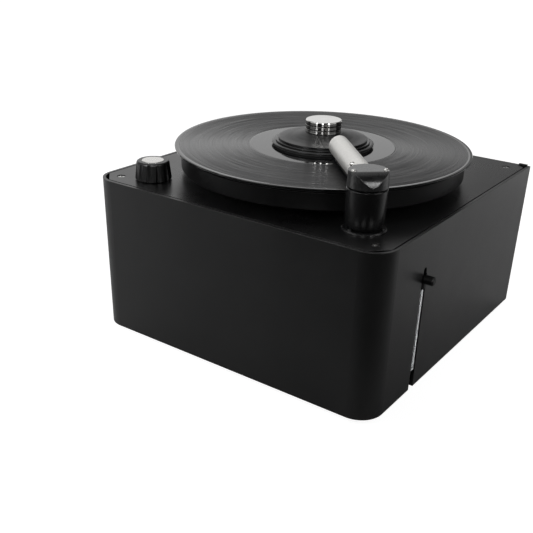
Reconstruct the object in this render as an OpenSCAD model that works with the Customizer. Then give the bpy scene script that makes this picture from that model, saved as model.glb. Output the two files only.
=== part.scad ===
// Record cleaning machine: a boxy black casing with a turning platter on top,
// a screwed clamp that holds the record, and a suction arm that swings over it.
// Origin on the floor under the spindle, +X to the right of the front face,
// +Y to the back, +Z up. Millimetres.

/* [Casing] */
// Width of the casing across its front face
case_w = 330; // [328:1:336]
// Depth of the casing from front to back
case_d = 330; // [328:1:336]
// Height of the casing wall
case_h = 160; // [156:1:170]
// Outer radius of the two front corners
corner_r = 24; // [22:1:26]
// Thickness of the bent casing wall
wall = 3; // [2.5:0.5:3]
// Gap between the floor and the casing's lower edge
foot_gap = 5; // [4:1:8]
// Thickness of the top plate
plate_t = 4; // [3.5:0.5:4]

/* [Record and platter] */
// Diameter of the record
record_d = 301.6; // [300:0.2:302]
// Height of the record's playing face above the casing's rim
record_rise = 28.9; // [28.5:0.1:30]
// Diameter of the platter
platter_d = 289; // [280:1:290]
// Gap between the top plate and the platter
platter_gap = 6.8; // [6.5:0.1:7.5]
// Diameter of the spindle that the record fits on
spindle_d = 7.1; // [7:0.05:7.2]

/* [Clamp] */
// Diameter of the clamp's rubber-edged foot
clamp_d = 104; // [100:1:105]
// Diameter of the chromed clamp knob
clamp_knob_d = 36.4; // [34:0.2:38]

/* [Suction arm] */
// Distance of the arm post from the spindle, along the front right diagonal
post_reach = 168.6; // [168.5:0.1:170]
// Direction that the arm points in at rest, seen from above
arm_heading = 133.5; // [131:0.5:135]
// Distance from the post's axis to the arm tube's closed end
arm_len = 112; // [108:1:113]
// Outer diameter of the arm tube
arm_d = 19.8; // [19:0.2:20]
// Height of the arm tube's axis above the casing's rim
arm_rise = 41.6; // [41.5:0.1:41.9]

/* [Selector] */
// Diameter of the selector knob at its skirt
knob_d = 36; // [34:0.5:38]
// Height of the selector knob
knob_h = 18.2; // [17:0.2:19]
// Number of finger flutes round the selector knob
knob_flutes = 12; // [10:1:14]

/* [Drive] */
// Module of the drive gears
gear_module = 2; // [2:1:2]
// Teeth on the motor pinion
pinion_teeth = 18; // [18:1:18]
// Teeth on the drive gear
drive_teeth = 42; // [42:1:42]

/* [Hose slot] */
// Distance of the hose slot in front of the spindle
slot_front = 84.5; // [80:0.5:90]
// Width of the hose slot
slot_w = 8.8; // [8.6:0.1:10]
// Outer diameter of the clear drain hose
hose_d = 5.2; // [5:0.1:5.4]

/* [Hidden] */
$fn = 96;
eps = 0.01;

// Levels, measured from the floor
rim_z = foot_gap + case_h;
plate_under = rim_z - plate_t;
floor_t = 3;
floor_z = foot_gap + wall + floor_t;
platter_z = rim_z + platter_gap;
record_top = rim_z + record_rise;
record_t = 1.9;
run_out_r = 74.7;
label_r = 51;
mat_t = 3;
mat_z = record_top - record_t - mat_t;

// Casing
plate_gap = 1.2;
corner_cut = 15;
rear_cut = 8;
flange_w = 24;
post_pitch = 145;
post_r = 8;
lip_h = 14;
lip_t = 3;
lip_w = 236;
rear_t = 3;
rear_y = case_d / 2 - rear_t;
rear_screw_x = [-100, 0, 100];
rear_low_z = floor_z + 8;
rear_high_z = plate_under - 7;

// Fasteners: shank radius, clearance radius, head radius and head height
m4_r = 2;
m4_hole = 2.2;
m4_tap = 2.05;
m4_head_r = 3.8;
m4_head_h = 2.5;
m3_r = 1.5;
m3_hole = 1.7;
m3_head_r = 2.2;
m3_head_h = 1.5;

// Bearing and shaft
shaft_r = 6;
run_gap = 0.05;
bush_r = 9;
bush_len = 14;
boss_r = 15;
boss_low = 108;
flange_r = 34;
flange_t = 5;
flange_screw_ring = 28;
spigot_r = 18;
spigot_top = rim_z + 1;

// Gears
pressure_angle = 20;
backlash_deg = 0.45;
drive_pitch_r = gear_module * drive_teeth / 2;
pinion_pitch_r = gear_module * pinion_teeth / 2;
gear_centre = drive_pitch_r + pinion_pitch_r;
gear_z = 96;
gear_t = 8;
gear_clear = 0.25;
out_r = 4;

// Gear motor and its bracket
bracket_z = 90;
bracket_t = 3;
bracket_leg_y = 38;
gearbox_w = 60;
gearbox_h = 34;
gearbox_screw = 24;
can_r = 27;

// Waste tank: low and high corners in plan
tank_lo = [50, -134];
tank_hi = [156, 40];
tank_wall = 3;
tank_r = 6;
tank_z = floor_z + 1;
tank_top = 85;
lid_t = 3;
hose_port = [85, 20];
nozzle_r = 3.4;

// Fan and vacuum motor
fan_at = [85, 105];
fan_r = 52;
fan_wall = 2.5;
fan_z = 70;
fan_top = 112;
duct_w = 40;
duct_lo = 78;
duct_hi = 104;
vac_r = 36;
air_r = 11;
air_bend = 25;
air_high = 120;
blade_count = 9;

// Arm post and what runs in it
post_x = post_reach * cos(45);
post_y = -post_x;
post_top = rim_z + 36.9;
post_foot = rim_z + 2;
post_foot_r = 13.8;
post_round = 11;
post_mid_r = 17.3;
post_top_r = 17.7;
post_bore = 11.45;
collar_r = post_bore - 0.07;
tube_r = 9;
tube_bore = 7.5;
slide_gap = 0.07;
head_z = rim_z + 38.2;
head_top = rim_z + 52;
head_r = 17.7;
head_top_r = 17;
recess_top = rim_z + 40;
collar_top = rim_z + 20;
spring_wire = 1.4;
spring_r = 10.25;
spring_low = collar_top + 0.3;
spring_high = recess_top - 0.3;
spring_turns = 5;
spring_sides = 6;
spring_steps = 20;

// Suction arm
arm_z = rim_z + arm_rise;
arm_r = arm_d / 2;
arm_bore = arm_r - 1.5;
arm_clear = 18.2;
spigot_end = 32;
air_way_r = 2.9;
air_way_z = rim_z + 43;
tube_top = rim_z + 47;
slit_w = 3;
bar_w = 10;
bar_low = rim_z + 31;
bar_start = 19.5;
lip_drop = 1.1;
head_screw_at = [[-4, 13.7], [-4, -13.7]];
tube_screw_at = 28.4;
tube_screw_turn = -47;
tube_screw_h = 1.9;
nose_r = 13.9;
nose_out = 17.8;
nose_z = rim_z + 38.3;

// Selector
selector_at = [-114.5, -130.5];
selector_shaft_r = 3;
cap_r = 11;

// Hose slot
slot_top = rim_z - 41.5;
notch_top = rim_z - 35;
notch_w = 5.6;
hose_x = case_w / 2 - 2.2;
hose_y = -slot_front - 0.4;
hose_r = hose_d / 2;
hose_wall = 0.8;
hose_z = 26;
plug_z = rim_z - 46;
plug_socket = 6.5;
socket_r = 3.5;
plug_r = 4.2;
plug_out = 10.3;

// Rear panel fittings
inlet_at = [-105, 42];
switch_at = [-52, 42];
rocker_tilt = 11;
vent_x = [-12, 30];
ear_w = 9;
ear_h = 1.4;
rocker_half = 6.8;
grille_at = [85, 91];

// Plan of the casing, drawn in by a margin, with round front corners
module casing_plan(inset, back) {
    hw = case_w / 2 - inset;
    hd = case_d / 2 - inset;
    r = corner_r - inset;
    translate([-hw, -hd + r])
        square([2 * hw, hd - r + back]);
    translate([-hw + r, -hd])
        square([2 * (hw - r), r + eps]);
    for (side = [-1, 1])
        translate([side * (hw - r), -hd + r])
            circle(r);
}

// Plan of a plate inside the casing, with its corners cut straight
module plate_plan(gap) {
    hw = case_w / 2 - wall - gap;
    front = -case_d / 2 + wall + gap;
    back = rear_y - 0.2;
    c = corner_cut;
    polygon([[-hw + c, front], [hw - c, front], [hw, front + c], [hw, back - rear_cut],
             [hw - rear_cut, back], [-hw + rear_cut, back], [-hw, back - rear_cut],
             [-hw, front + c]]);
}

module at_corners() {
    for (x = [-post_pitch, post_pitch], y = [-post_pitch, post_pitch])
        translate([x, y, 0])
            children();
}

module round_box(size, r) {
    translate([r, 0, 0])
        cube([size.x - 2 * r, size.y, size.z]);
    translate([0, r, 0])
        cube([size.x, size.y - 2 * r, size.z]);
    for (x = [r, size.x - r], y = [r, size.y - r])
        translate([x, y, 0])
            cylinder(h = size.z, r = r);
}

// A slot-shaped bar along Z or X, laid in the rear panel
module slot_bar(length, width, depth) {
    rotate([90, 0, 0])
        translate([0, 0, -depth / 2]) {
            translate([-width / 2, -length / 2 + width / 2, 0])
                cube([width, length - width, depth]);
            for (s = [-1, 1])
                translate([0, s * (length - width) / 2, 0])
                    cylinder(h = depth, d = width, $fn = 32);
        }
}

// A pan head screw whose head seats at the origin and whose shank points up
module pan_screw(shank, shank_r, head_r, head_h) {
    cylinder(h = shank, r = shank_r, $fn = 32);
    difference() {
        rotate_extrude($fn = 48)
            polygon([[0, -head_h], [head_r * 0.6, -head_h], [head_r * 0.92, -head_h * 0.62],
                     [head_r, 0], [0, 0]]);
        for (a = [0, 90])
            rotate(a)
                translate([-head_r * 0.5, -head_r * 0.12, -head_h - eps])
                    cube([head_r, head_r * 0.24, head_h * 0.5]);
    }
}

// Where the arm's own frame sits: +X along the arm, Z kept from the floor
module on_arm() {
    translate([post_x, post_y, 0])
        rotate(arm_heading)
            children();
}

module casing_wrap() {
    color("#1b1c1e")
        difference() {
            union() {
                translate([0, 0, foot_gap])
                    linear_extrude(case_h)
                        difference() {
                            casing_plan(0, case_d / 2);
                            casing_plan(wall, case_d);
                        }
                translate([0, 0, foot_gap])
                    linear_extrude(wall)
                        difference() {
                            casing_plan(0.5, rear_y - 0.5);
                            translate([-case_w / 2 + flange_w, -case_d / 2 + flange_w])
                                square([case_w - 2 * flange_w, case_d]);
                        }
            }
            at_corners()
                cylinder(h = rim_z, r = m4_hole);
            hose_cut();
        }
}

// The slot for the hose: open at the bottom, with a narrower round notch on top
module hose_cut() {
    from_x = case_w / 2 - flange_w / 2;
    translate([from_x, -slot_front - slot_w / 2, 0])
        cube([case_w, slot_w, slot_top]);
    translate([from_x, -slot_front - notch_w / 2, slot_top - 1])
        cube([case_w, notch_w, notch_top - notch_w / 2 - slot_top + 1]);
    translate([from_x, -slot_front, notch_top - notch_w / 2])
        rotate([0, 90, 0])
            cylinder(h = case_w, d = notch_w);
}

module top_plate() {
    color("#222326")
        difference() {
            union() {
                translate([0, 0, plate_under])
                    linear_extrude(plate_t)
                        plate_plan(plate_gap);
                translate([-lip_w / 2, rear_y - 0.2 - lip_t, plate_under - lip_h])
                    cube([lip_w, lip_t, lip_h + eps]);
            }
            at_corners() {
                translate([0, 0, plate_under - 1])
                    cylinder(h = plate_t + 2, r = m4_hole);
                translate([0, 0, rim_z - 2.8])
                    cylinder(h = 4, r = 4.1);
            }
            translate([0, 0, plate_under - 1])
                cylinder(h = plate_t + 2, r = spigot_r + 0.2);
            for (a = [30, 150, 270])
                rotate(a)
                    translate([flange_screw_ring, 0, plate_under - 1])
                        cylinder(h = plate_t + 2, r = m4_tap);
            for (x = [-1, 1], y = [-1, 1])
                translate([-gear_centre + x * 22, y * (bracket_leg_y + 9), plate_under - 1])
                    cylinder(h = plate_t + 2, r = m4_tap);
            translate([selector_at.x, selector_at.y, plate_under - 1])
                cylinder(h = plate_t + 2, r = 5);
            translate([post_x, post_y, plate_under - 1]) {
                cylinder(h = plate_t + 2, r = 11.6);
                for (a = [0, 120, 240])
                    rotate(a + arm_heading)
                        translate([16.9, 0, 0])
                            cylinder(h = plate_t + 2, r = m3_hole);
            }
            for (x = rear_screw_x)
                translate([x, rear_y, rear_high_z])
                    rotate([90, 0, 0])
                        cylinder(h = lip_t * 2, r = m4_tap);
        }
}

module bottom_plate() {
    low = floor_z - floor_t;
    color("#303236")
        difference() {
            union() {
                translate([0, 0, low])
                    linear_extrude(floor_t)
                        plate_plan(0.8);
                translate([-lip_w / 2, rear_y - 0.2 - lip_t, low])
                    cube([lip_w, lip_t, lip_h + floor_t]);
            }
            at_corners()
                cylinder(h = rim_z, r = m4_hole);
            hose_cut();
            for (x = rear_screw_x)
                translate([x, rear_y, rear_low_z])
                    rotate([90, 0, 0])
                        cylinder(h = lip_t * 2, r = m4_tap);
            for (i = [-4:4])
                translate([-gear_centre + i * 7, -80, low - 1])
                    cube([3, 36, floor_t + 2]);
            for (i = [-4:4])
                translate([fan_at.x - 42 + i * 7, fan_at.y - 62, low - 1])
                    cube([3, 12, floor_t + 2]);
        }
}

module rear_panel() {
    hw = case_w / 2 - wall - 0.2;
    color("#1b1c1e")
        difference() {
            union() {
                translate([-hw, rear_y, foot_gap])
                    cube([2 * hw, rear_t, case_h]);
                for (s = [-1, 1])
                    translate([s * (hw - ear_w / 2) - ear_w / 2, rear_y, rim_z - eps])
                        cube([ear_w, rear_t, ear_h]);
            }
            for (x = rear_screw_x, z = [rear_low_z, rear_high_z])
                translate([x, case_d / 2 + 1, z])
                    rotate([90, 0, 0])
                        cylinder(h = rear_t + 2, r = m4_hole);
            translate([inlet_at.x - 14.2, rear_y - 1, inlet_at.y - 10.2])
                cube([28.4, rear_t + 2, 20.4]);
            for (s = [-1, 1])
                translate([inlet_at.x + s * 20, case_d / 2 + 1, inlet_at.y])
                    rotate([90, 0, 0])
                        cylinder(h = rear_t + 2, r = m3_hole);
            translate([switch_at.x - 9.7, rear_y - 1, switch_at.y - 6.6])
                cube([19.4, rear_t + 2, 13.2]);
            translate([grille_at.x - 26, rear_y - 1, grille_at.y - 16])
                cube([52, rear_t + 2, 32]);
            for (s = [-1, 1])
                translate([grille_at.x + s * 32, case_d / 2 + 1, grille_at.y])
                    rotate([90, 0, 0])
                        cylinder(h = rear_t + 2, r = m3_hole);
            for (x = [vent_x[0]:7:vent_x[1]])
                translate([x, case_d / 2 - rear_t / 2, inlet_at.y])
                    slot_bar(34, 3, rear_t + 2);
        }
}

module corner_posts() {
    color("#8d9094")
        at_corners()
            difference() {
                translate([0, 0, floor_z])
                    cylinder(h = plate_under - floor_z, r = post_r);
                translate([0, 0, floor_z - 1])
                    cylinder(h = 21, r = m4_tap);
                translate([0, 0, plate_under - 20])
                    cylinder(h = 21, r = m4_tap);
            }
}

module top_screws() {
    seat = rim_z - 2.8;
    color("#b9bcc0")
        at_corners()
            difference() {
                union() {
                    translate([0, 0, seat])
                        cylinder(h = 2.2, r = 3.5, $fn = 48);
                    translate([0, 0, seat - 16])
                        cylinder(h = 16 + eps, r = m4_r, $fn = 32);
                }
                translate([0, 0, seat + 0.9])
                    cylinder(h = 2, r = 1.45, $fn = 6);
            }
}

module rubber_feet() {
    color("#17181a")
        at_corners()
            difference() {
                rotate_extrude()
                    polygon([[0, 0], [9.2, 0], [10.4, 1.2], [11.4, foot_gap], [0, foot_gap]]);
                translate([0, 0, -1])
                    cylinder(h = foot_gap + 2, r = m4_hole);
                translate([0, 0, -1])
                    cylinder(h = 4, r = m4_head_r + 0.4);
            }
}

module foot_screws() {
    color("#b9bcc0")
        at_corners()
            translate([0, 0, 3])
                pan_screw(18, m4_r, m4_head_r, 2);
}

// Screws that hold the back, the bearing, the bracket and the gearbox
module pan_screws() {
    color("#b9bcc0") {
        for (x = rear_screw_x, z = [rear_low_z, rear_high_z])
            translate([x, case_d / 2, z])
                rotate([90, 0, 0])
                    pan_screw(6, m4_r, m4_head_r, m4_head_h);
        for (a = [30, 150, 270])
            rotate(a)
                translate([flange_screw_ring, 0, plate_under - flange_t])
                    pan_screw(8, m4_r, m4_head_r, m4_head_h);
        for (x = [-1, 1], y = [-1, 1]) {
            translate([-gear_centre + x * 22, y * (bracket_leg_y + 9), plate_under - bracket_t])
                pan_screw(6, m4_r, m4_head_r, m4_head_h);
            translate([-gear_centre + x * gearbox_screw, y * gearbox_screw, bracket_z + bracket_t])
                mirror([0, 0, 1])
                    pan_screw(9, m4_r, m4_head_r, m4_head_h);
        }
    }
}

module exhaust_grille() {
    color("#17181a")
        translate([grille_at.x, case_d / 2, grille_at.y])
            difference() {
                translate([-37, 0, -20])
                    cube([74, 2, 40]);
                for (i = [-3:3])
                    translate([-24, -1, i * 4.4 - 1.2])
                        cube([48, 4, 2.4]);
                for (s = [-1, 1])
                    translate([s * 32, 3, 0])
                        rotate([90, 0, 0])
                            cylinder(h = 4, r = m3_hole);
            }
}

module bearing_housing() {
    under = plate_under - flange_t;
    color("#8d9094")
        difference() {
            union() {
                translate([0, 0, under])
                    cylinder(h = flange_t, r = flange_r);
                translate([0, 0, boss_low])
                    cylinder(h = under - boss_low + eps, r = boss_r);
                translate([0, 0, plate_under - eps])
                    cylinder(h = spigot_top - plate_under, r = spigot_r);
                for (a = [90, 210, 330])
                    rotate(a)
                        translate([boss_r - 1, -2, under - 22])
                            rotate([90, 0, 90])
                                linear_extrude(14)
                                    polygon([[0, 0], [4, 0], [4, 22.5], [0, 22.5]]);
            }
            translate([0, 0, boss_low - 1])
                cylinder(h = bush_len + 1, r = bush_r + 0.01);
            translate([0, 0, spigot_top - bush_len])
                cylinder(h = bush_len + 1, r = bush_r + 0.01);
            translate([0, 0, boss_low])
                cylinder(h = spigot_top - boss_low, r = shaft_r + 1.5);
            for (a = [30, 150, 270])
                rotate(a)
                    translate([flange_screw_ring, 0, under - 1])
                        cylinder(h = flange_t + 2, r = m4_hole);
        }
}

module bearing_bushes() {
    color("#b08a4a")
        for (z = [boss_low, spigot_top - bush_len])
            translate([0, 0, z])
                difference() {
                    cylinder(h = bush_len, r = bush_r);
                    translate([0, 0, -1])
                        cylinder(h = bush_len + 2, r = shaft_r + run_gap);
                }
}

module main_shaft() {
    color("#c9ccd0")
        rotate_extrude()
            polygon([[0, gear_z - 2], [shaft_r - 0.5, gear_z - 2], [shaft_r, gear_z - 1.5],
                     [shaft_r, mat_z - 0.1], [spindle_d / 2, mat_z - 0.1],
                     [spindle_d / 2, record_top + 18], [spindle_d / 2 - 1, record_top + 19],
                     [0, record_top + 19]]);
}

// Involute curve: the angle by which a flank has turned at radius r
function involute_deg(r, base_r) =
    let (t = sqrt(max(0, r * r / (base_r * base_r) - 1)))
    t * 180 / PI - atan(t);

function flank_deg(r, teeth) =
    let (pitch_r = gear_module * teeth / 2)
    let (base_r = pitch_r * cos(pressure_angle))
    90 / teeth - backlash_deg * 20 / teeth
        - (involute_deg(max(r, base_r), base_r) - involute_deg(pitch_r, base_r));

function tooth_points(k, teeth) =
    let (pitch_r = gear_module * teeth / 2)
    let (root_r = pitch_r - gear_module * (1 + gear_clear))
    let (radii = [root_r, pitch_r - gear_module * 0.5, pitch_r + gear_module * 0.25,
                  pitch_r + gear_module])
    let (mid = k * 360 / teeth)
    concat(
        [for (r = radii) [r, mid - flank_deg(r, teeth)]],
        [for (i = [3:-1:0]) [radii[i], mid + flank_deg(radii[i], teeth)]]);

module gear_plan(teeth) {
    polar = [for (k = [0:teeth - 1]) each tooth_points(k, teeth)];
    polygon([for (p = polar) [p[0] * cos(p[1]), p[0] * sin(p[1])]]);
}

module drive_gear() {
    color("#d8d4c8")
        difference() {
            union() {
                translate([0, 0, gear_z])
                    linear_extrude(gear_t)
                        gear_plan(drive_teeth);
                translate([0, 0, gear_z + gear_t - eps])
                    cylinder(h = 3.5, r = 12);
            }
            translate([0, 0, gear_z - 1])
                cylinder(h = gear_t + 8, r = shaft_r + 0.01);
            for (a = [0:60:300])
                rotate(a)
                    translate([26, 0, gear_z - 1])
                        cylinder(h = gear_t + 2, r = 8);
        }
}

module motor_pinion() {
    color("#c9a65a")
        translate([-gear_centre, 0, 0])
            difference() {
                union() {
                    translate([0, 0, gear_z - 1])
                        linear_extrude(gear_t + 2)
                            rotate(180 / pinion_teeth)
                                gear_plan(pinion_teeth);
                    translate([0, 0, gear_z + gear_t])
                        cylinder(h = 6, r = 9);
                }
                translate([0, 0, gear_z - 2])
                    cylinder(h = gear_t + 12, r = out_r + 0.01);
            }
}

module output_shaft() {
    color("#c9ccd0")
        translate([-gear_centre, 0, 60])
            cylinder(h = gear_z + gear_t + 6 - 60, r = out_r);
}

module motor_bracket() {
    leg_x = [-gear_centre - 31, -gear_centre + 28];
    color("#5b5e63")
        difference() {
            union() {
                translate([leg_x[0], -bracket_leg_y - bracket_t, bracket_z])
                    cube([leg_x[1] - leg_x[0], 2 * (bracket_leg_y + bracket_t), bracket_t]);
                for (s = [-1, 1]) {
                    translate([leg_x[0], s * (bracket_leg_y + bracket_t / 2) - bracket_t / 2, bracket_z])
                        cube([leg_x[1] - leg_x[0], bracket_t, plate_under - bracket_z]);
                    translate([leg_x[0], s * (bracket_leg_y + 8) - 8, plate_under - bracket_t])
                        cube([leg_x[1] - leg_x[0], 16, bracket_t]);
                }
            }
            translate([-gear_centre, 0, bracket_z - 1])
                cylinder(h = bracket_t + 2, r = 10.5);
            for (x = [-1, 1], y = [-1, 1]) {
                translate([-gear_centre + x * gearbox_screw, y * gearbox_screw, bracket_z - 1])
                    cylinder(h = bracket_t + 2, r = m4_hole);
                translate([-gear_centre + x * 22, y * (bracket_leg_y + 9), plate_under - bracket_t - 1])
                    cylinder(h = bracket_t + 2, r = m4_hole);
            }
            for (s = [-1, 1])
                translate([-gear_centre, s * (bracket_leg_y + bracket_t / 2), 128])
                    rotate([90, 0, 0])
                        cylinder(h = bracket_t + 2, r = 14, center = true);
        }
}

module gearbox_housing() {
    low = bracket_z - gearbox_h;
    color("#9ea1a5")
        difference() {
            union() {
                translate([-gear_centre - gearbox_w / 2, -gearbox_w / 2, low])
                    round_box([gearbox_w, gearbox_w, gearbox_h], 6);
                translate([-gear_centre, 0, bracket_z - eps])
                    cylinder(h = bracket_t, r = 10);
            }
            translate([-gear_centre, 0, low + 3])
                cylinder(h = gearbox_h + 4, r = out_r + run_gap);
            for (x = [-1, 1], y = [-1, 1])
                translate([-gear_centre + x * gearbox_screw, y * gearbox_screw, bracket_z - 8])
                    cylinder(h = 10, r = m4_tap);
        }
}

module motor_can() {
    low = floor_z + 3;
    high = bracket_z - gearbox_h;
    color("#6d7075")
        translate([-gear_centre, 0, 0])
            rotate_extrude()
                polygon([[0, low], [9, low], [9, low + 3], [can_r - 2, low + 3], [can_r, low + 5],
                         [can_r, high - 5], [can_r + 2, high - 5], [can_r + 2, high], [0, high]]);
}

// Run capacitor of the reversible motor, lying on the floor plate in its clip
module motor_capacitor() {
    color("#cfd2d6")
        translate([-125, 20, floor_z + 17]) {
            rotate([-90, 0, 0])
                cylinder(h = 58, r = 15);
            translate([0, 58, 0])
                rotate([-90, 0, 0])
                    cylinder(h = 4, r = 10);
            translate([-10, 20, -17])
                cube([20, 12, 6]);
            for (s = [-1, 1])
                translate([s * 5 - 0.4, 62 - eps, -3])
                    cube([0.8, 7, 6]);
        }
}

module fluid_tank() {
    size = tank_hi - tank_lo;
    color("#1f2022")
        difference() {
            translate([tank_lo.x, tank_lo.y, tank_z])
                round_box([size.x, size.y, tank_top - tank_z], tank_r);
            translate([tank_lo.x + tank_wall, tank_lo.y + tank_wall, tank_z + tank_wall])
                round_box([size.x - 2 * tank_wall, size.y - 2 * tank_wall, tank_top - tank_z],
                          tank_r - tank_wall);
            translate([tank_hi.x - 12, hose_y, hose_z])
                rotate([0, 90, 0])
                    cylinder(h = 20, r = nozzle_r + 0.02);
        }
}

module tank_lid() {
    size = tank_hi - tank_lo;
    color("#28292c")
        difference() {
            union() {
                translate([tank_lo.x, tank_lo.y, tank_top])
                    round_box([size.x, size.y, lid_t], tank_r);
                translate([tank_lo.x + tank_wall + 0.4, tank_lo.y + tank_wall + 0.4, tank_top - 3])
                    round_box([size.x - 2 * tank_wall - 0.8, size.y - 2 * tank_wall - 0.8, 3 + eps],
                              tank_r - tank_wall - 0.4);
                translate([hose_port.x, hose_port.y, tank_top])
                    cylinder(h = 12, r = air_r - 2.1);
            }
            translate([hose_port.x, hose_port.y, tank_top - 5])
                cylinder(h = 20, r = air_r - 4);
            translate([tank_lo.x + 8, tank_lo.y + 8, tank_top - 4])
                round_box([size.x - 16, size.y - 16, 4], tank_r - 5);
            translate([post_x, post_y, tank_top - 5])
                cylinder(h = 12, r = 11.1);
        }
}

// Fixed pipe from the top plate into the waste tank, round the lift tube
module suction_pipe() {
    color("#b4b7bb")
        translate([post_x, post_y, 0])
            difference() {
                union() {
                    translate([0, 0, tank_top - 12])
                        cylinder(h = rim_z - tank_top + 12, r = 11);
                    translate([0, 0, plate_under - 3])
                        cylinder(h = 3, r = 20);
                }
                translate([0, 0, tank_top - 13])
                    cylinder(h = case_h, r = tube_r + 0.3);
                for (a = [0, 120, 240])
                    rotate(a + arm_heading)
                        translate([16.9, 0, plate_under - 4])
                            cylinder(h = 5, r = m3_r + 0.05);
            }
}

// Bent air hose from the tank lid over to the fan's inlet
module air_hose() {
    span = fan_at.y - hose_port.y;
    run = span - 2 * air_bend;
    low = tank_top + lid_t;
    color("#2b2c2f")
        difference() {
            air_run(air_r, low, air_r);
            air_run(air_r - 2, low - 1, air_r);
        }
    module air_run(r, from_z, over) {
        translate([hose_port.x, hose_port.y, 0]) {
            translate([0, 0, from_z])
                cylinder(h = air_high - from_z, r = r);
            translate([0, air_bend, air_high])
                rotate([90, 0, -90])
                    rotate_extrude(angle = 90)
                        translate([air_bend, 0])
                            circle(r);
            translate([0, air_bend, air_high + air_bend])
                rotate([-90, 0, 0])
                    cylinder(h = run, r = r);
            translate([0, span - air_bend, air_high])
                rotate([90, 0, 90])
                    rotate_extrude(angle = 90)
                        translate([air_bend, 0])
                            circle(r);
            translate([0, span, from_z + fan_top + 1 - low])
                cylinder(h = air_high - (from_z + fan_top + 1 - low), r = r);
        }
    }
}

module fan_housing() {
    color("#3a3c40")
        difference() {
            union() {
                translate([fan_at.x, fan_at.y, fan_z])
                    cylinder(h = fan_top - fan_z, r = fan_r);
                translate([fan_at.x, fan_at.y, fan_top - eps])
                    cylinder(h = 7, r = air_r - 2.1);
                translate([fan_at.x - duct_w / 2 - fan_wall, fan_at.y, duct_lo - fan_wall])
                    cube([duct_w + 2 * fan_wall, rear_y - 0.5 - fan_at.y,
                          duct_hi - duct_lo + 2 * fan_wall]);
            }
            translate([fan_at.x, fan_at.y, fan_z + fan_wall])
                cylinder(h = fan_top - fan_z - 2 * fan_wall, r = fan_r - fan_wall);
            translate([fan_at.x - duct_w / 2, fan_at.y, duct_lo])
                cube([duct_w, rear_y - fan_at.y, duct_hi - duct_lo]);
            translate([fan_at.x, fan_at.y, fan_top - 5])
                cylinder(h = 20, r = air_r - 4);
            translate([fan_at.x, fan_at.y, fan_z - 1])
                cylinder(h = 5, r = out_r + run_gap);
        }
}

module vacuum_motor() {
    low = floor_z + 3;
    color("#7b7e83")
        translate([fan_at.x, fan_at.y, 0])
            difference() {
                rotate_extrude()
                    polygon([[0, low], [12, low], [12, low + 4], [vac_r - 6, low + 4],
                             [vac_r, low + 10], [vac_r, fan_z - 6], [vac_r + 5, fan_z - 6],
                             [vac_r + 5, fan_z], [0, fan_z]]);
                translate([0, 0, fan_z - 18])
                    cylinder(h = 20, r = out_r + run_gap);
                for (a = [0:45:315])
                    rotate(a)
                        translate([vac_r - 4, -2.5, low + 14])
                            cube([8, 5, 22]);
            }
}

// Closed centrifugal wheel: back disc, curved blades, front ring and shaft
module impeller() {
    low = fan_z + 6;
    color("#c9ccd0")
        translate([fan_at.x, fan_at.y, 0]) {
            difference() {
                union() {
                    translate([0, 0, low])
                        cylinder(h = 2, r = 45);
                    translate([0, 0, low])
                        cylinder(h = 12, r = 9);
                    translate([0, 0, low + 18])
                        cylinder(h = 1.5, r = 45);
                    for (i = [0:blade_count - 1])
                        rotate(i * 360 / blade_count)
                            translate([0, 0, low + 1.9])
                                linear_extrude(16.2)
                                    intersection() {
                                        difference() {
                                            translate([26, -22])
                                                circle(30);
                                            translate([26, -22])
                                                circle(28.4);
                                        }
                                        difference() {
                                            circle(44.8);
                                            circle(14);
                                        }
                                        translate([0, -12])
                                            square([60, 60]);
                                    }
                }
                translate([0, 0, low + 10])
                    cylinder(h = 12, r = 13);
            }
            translate([0, 0, fan_z - 16])
                cylinder(h = 30, r = out_r);
        }
}

// Nozzle in the tank's wall: stem, flange and short tail inside the hose slot
module drain_nozzle() {
    tail = hose_x - hose_r - 0.4 - tank_hi.x;
    color("#2b2c2f")
        translate([tank_hi.x, hose_y, hose_z])
            rotate([0, 90, 0])
                difference() {
                    union() {
                        translate([0, 0, -tank_wall - 1.5])
                            cylinder(h = tank_wall + 1.5 + eps, r = nozzle_r);
                        cylinder(h = 1.4, r = nozzle_r + 1.8);
                        cylinder(h = tail, r = nozzle_r - 1);
                    }
                    translate([0, 0, -tank_wall - 3])
                        cylinder(h = 12, r = hose_r - hose_wall);
                }
}

// Clear hose: a ball end at the nozzle, then straight up the slot
module drain_hose() {
    top = plug_z - 3;
    bore = hose_r - hose_wall;
    color([0.86, 0.88, 0.9, 0.6])
        translate([hose_x, hose_y, 0])
            difference() {
                union() {
                    translate([0, 0, hose_z])
                        sphere(hose_r, $fn = 48);
                    translate([0, 0, hose_z])
                        cylinder(h = top - hose_z, r = hose_r, $fn = 48);
                }
                translate([0, 0, hose_z])
                    sphere(bore, $fn = 48);
                translate([0, 0, hose_z])
                    cylinder(h = top - hose_z + 1, r = bore, $fn = 48);
                translate([0, 0, hose_z])
                    rotate([0, -90, 0])
                        cylinder(h = hose_r + 1, r = bore * 0.75, $fn = 48);
            }
}

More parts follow.
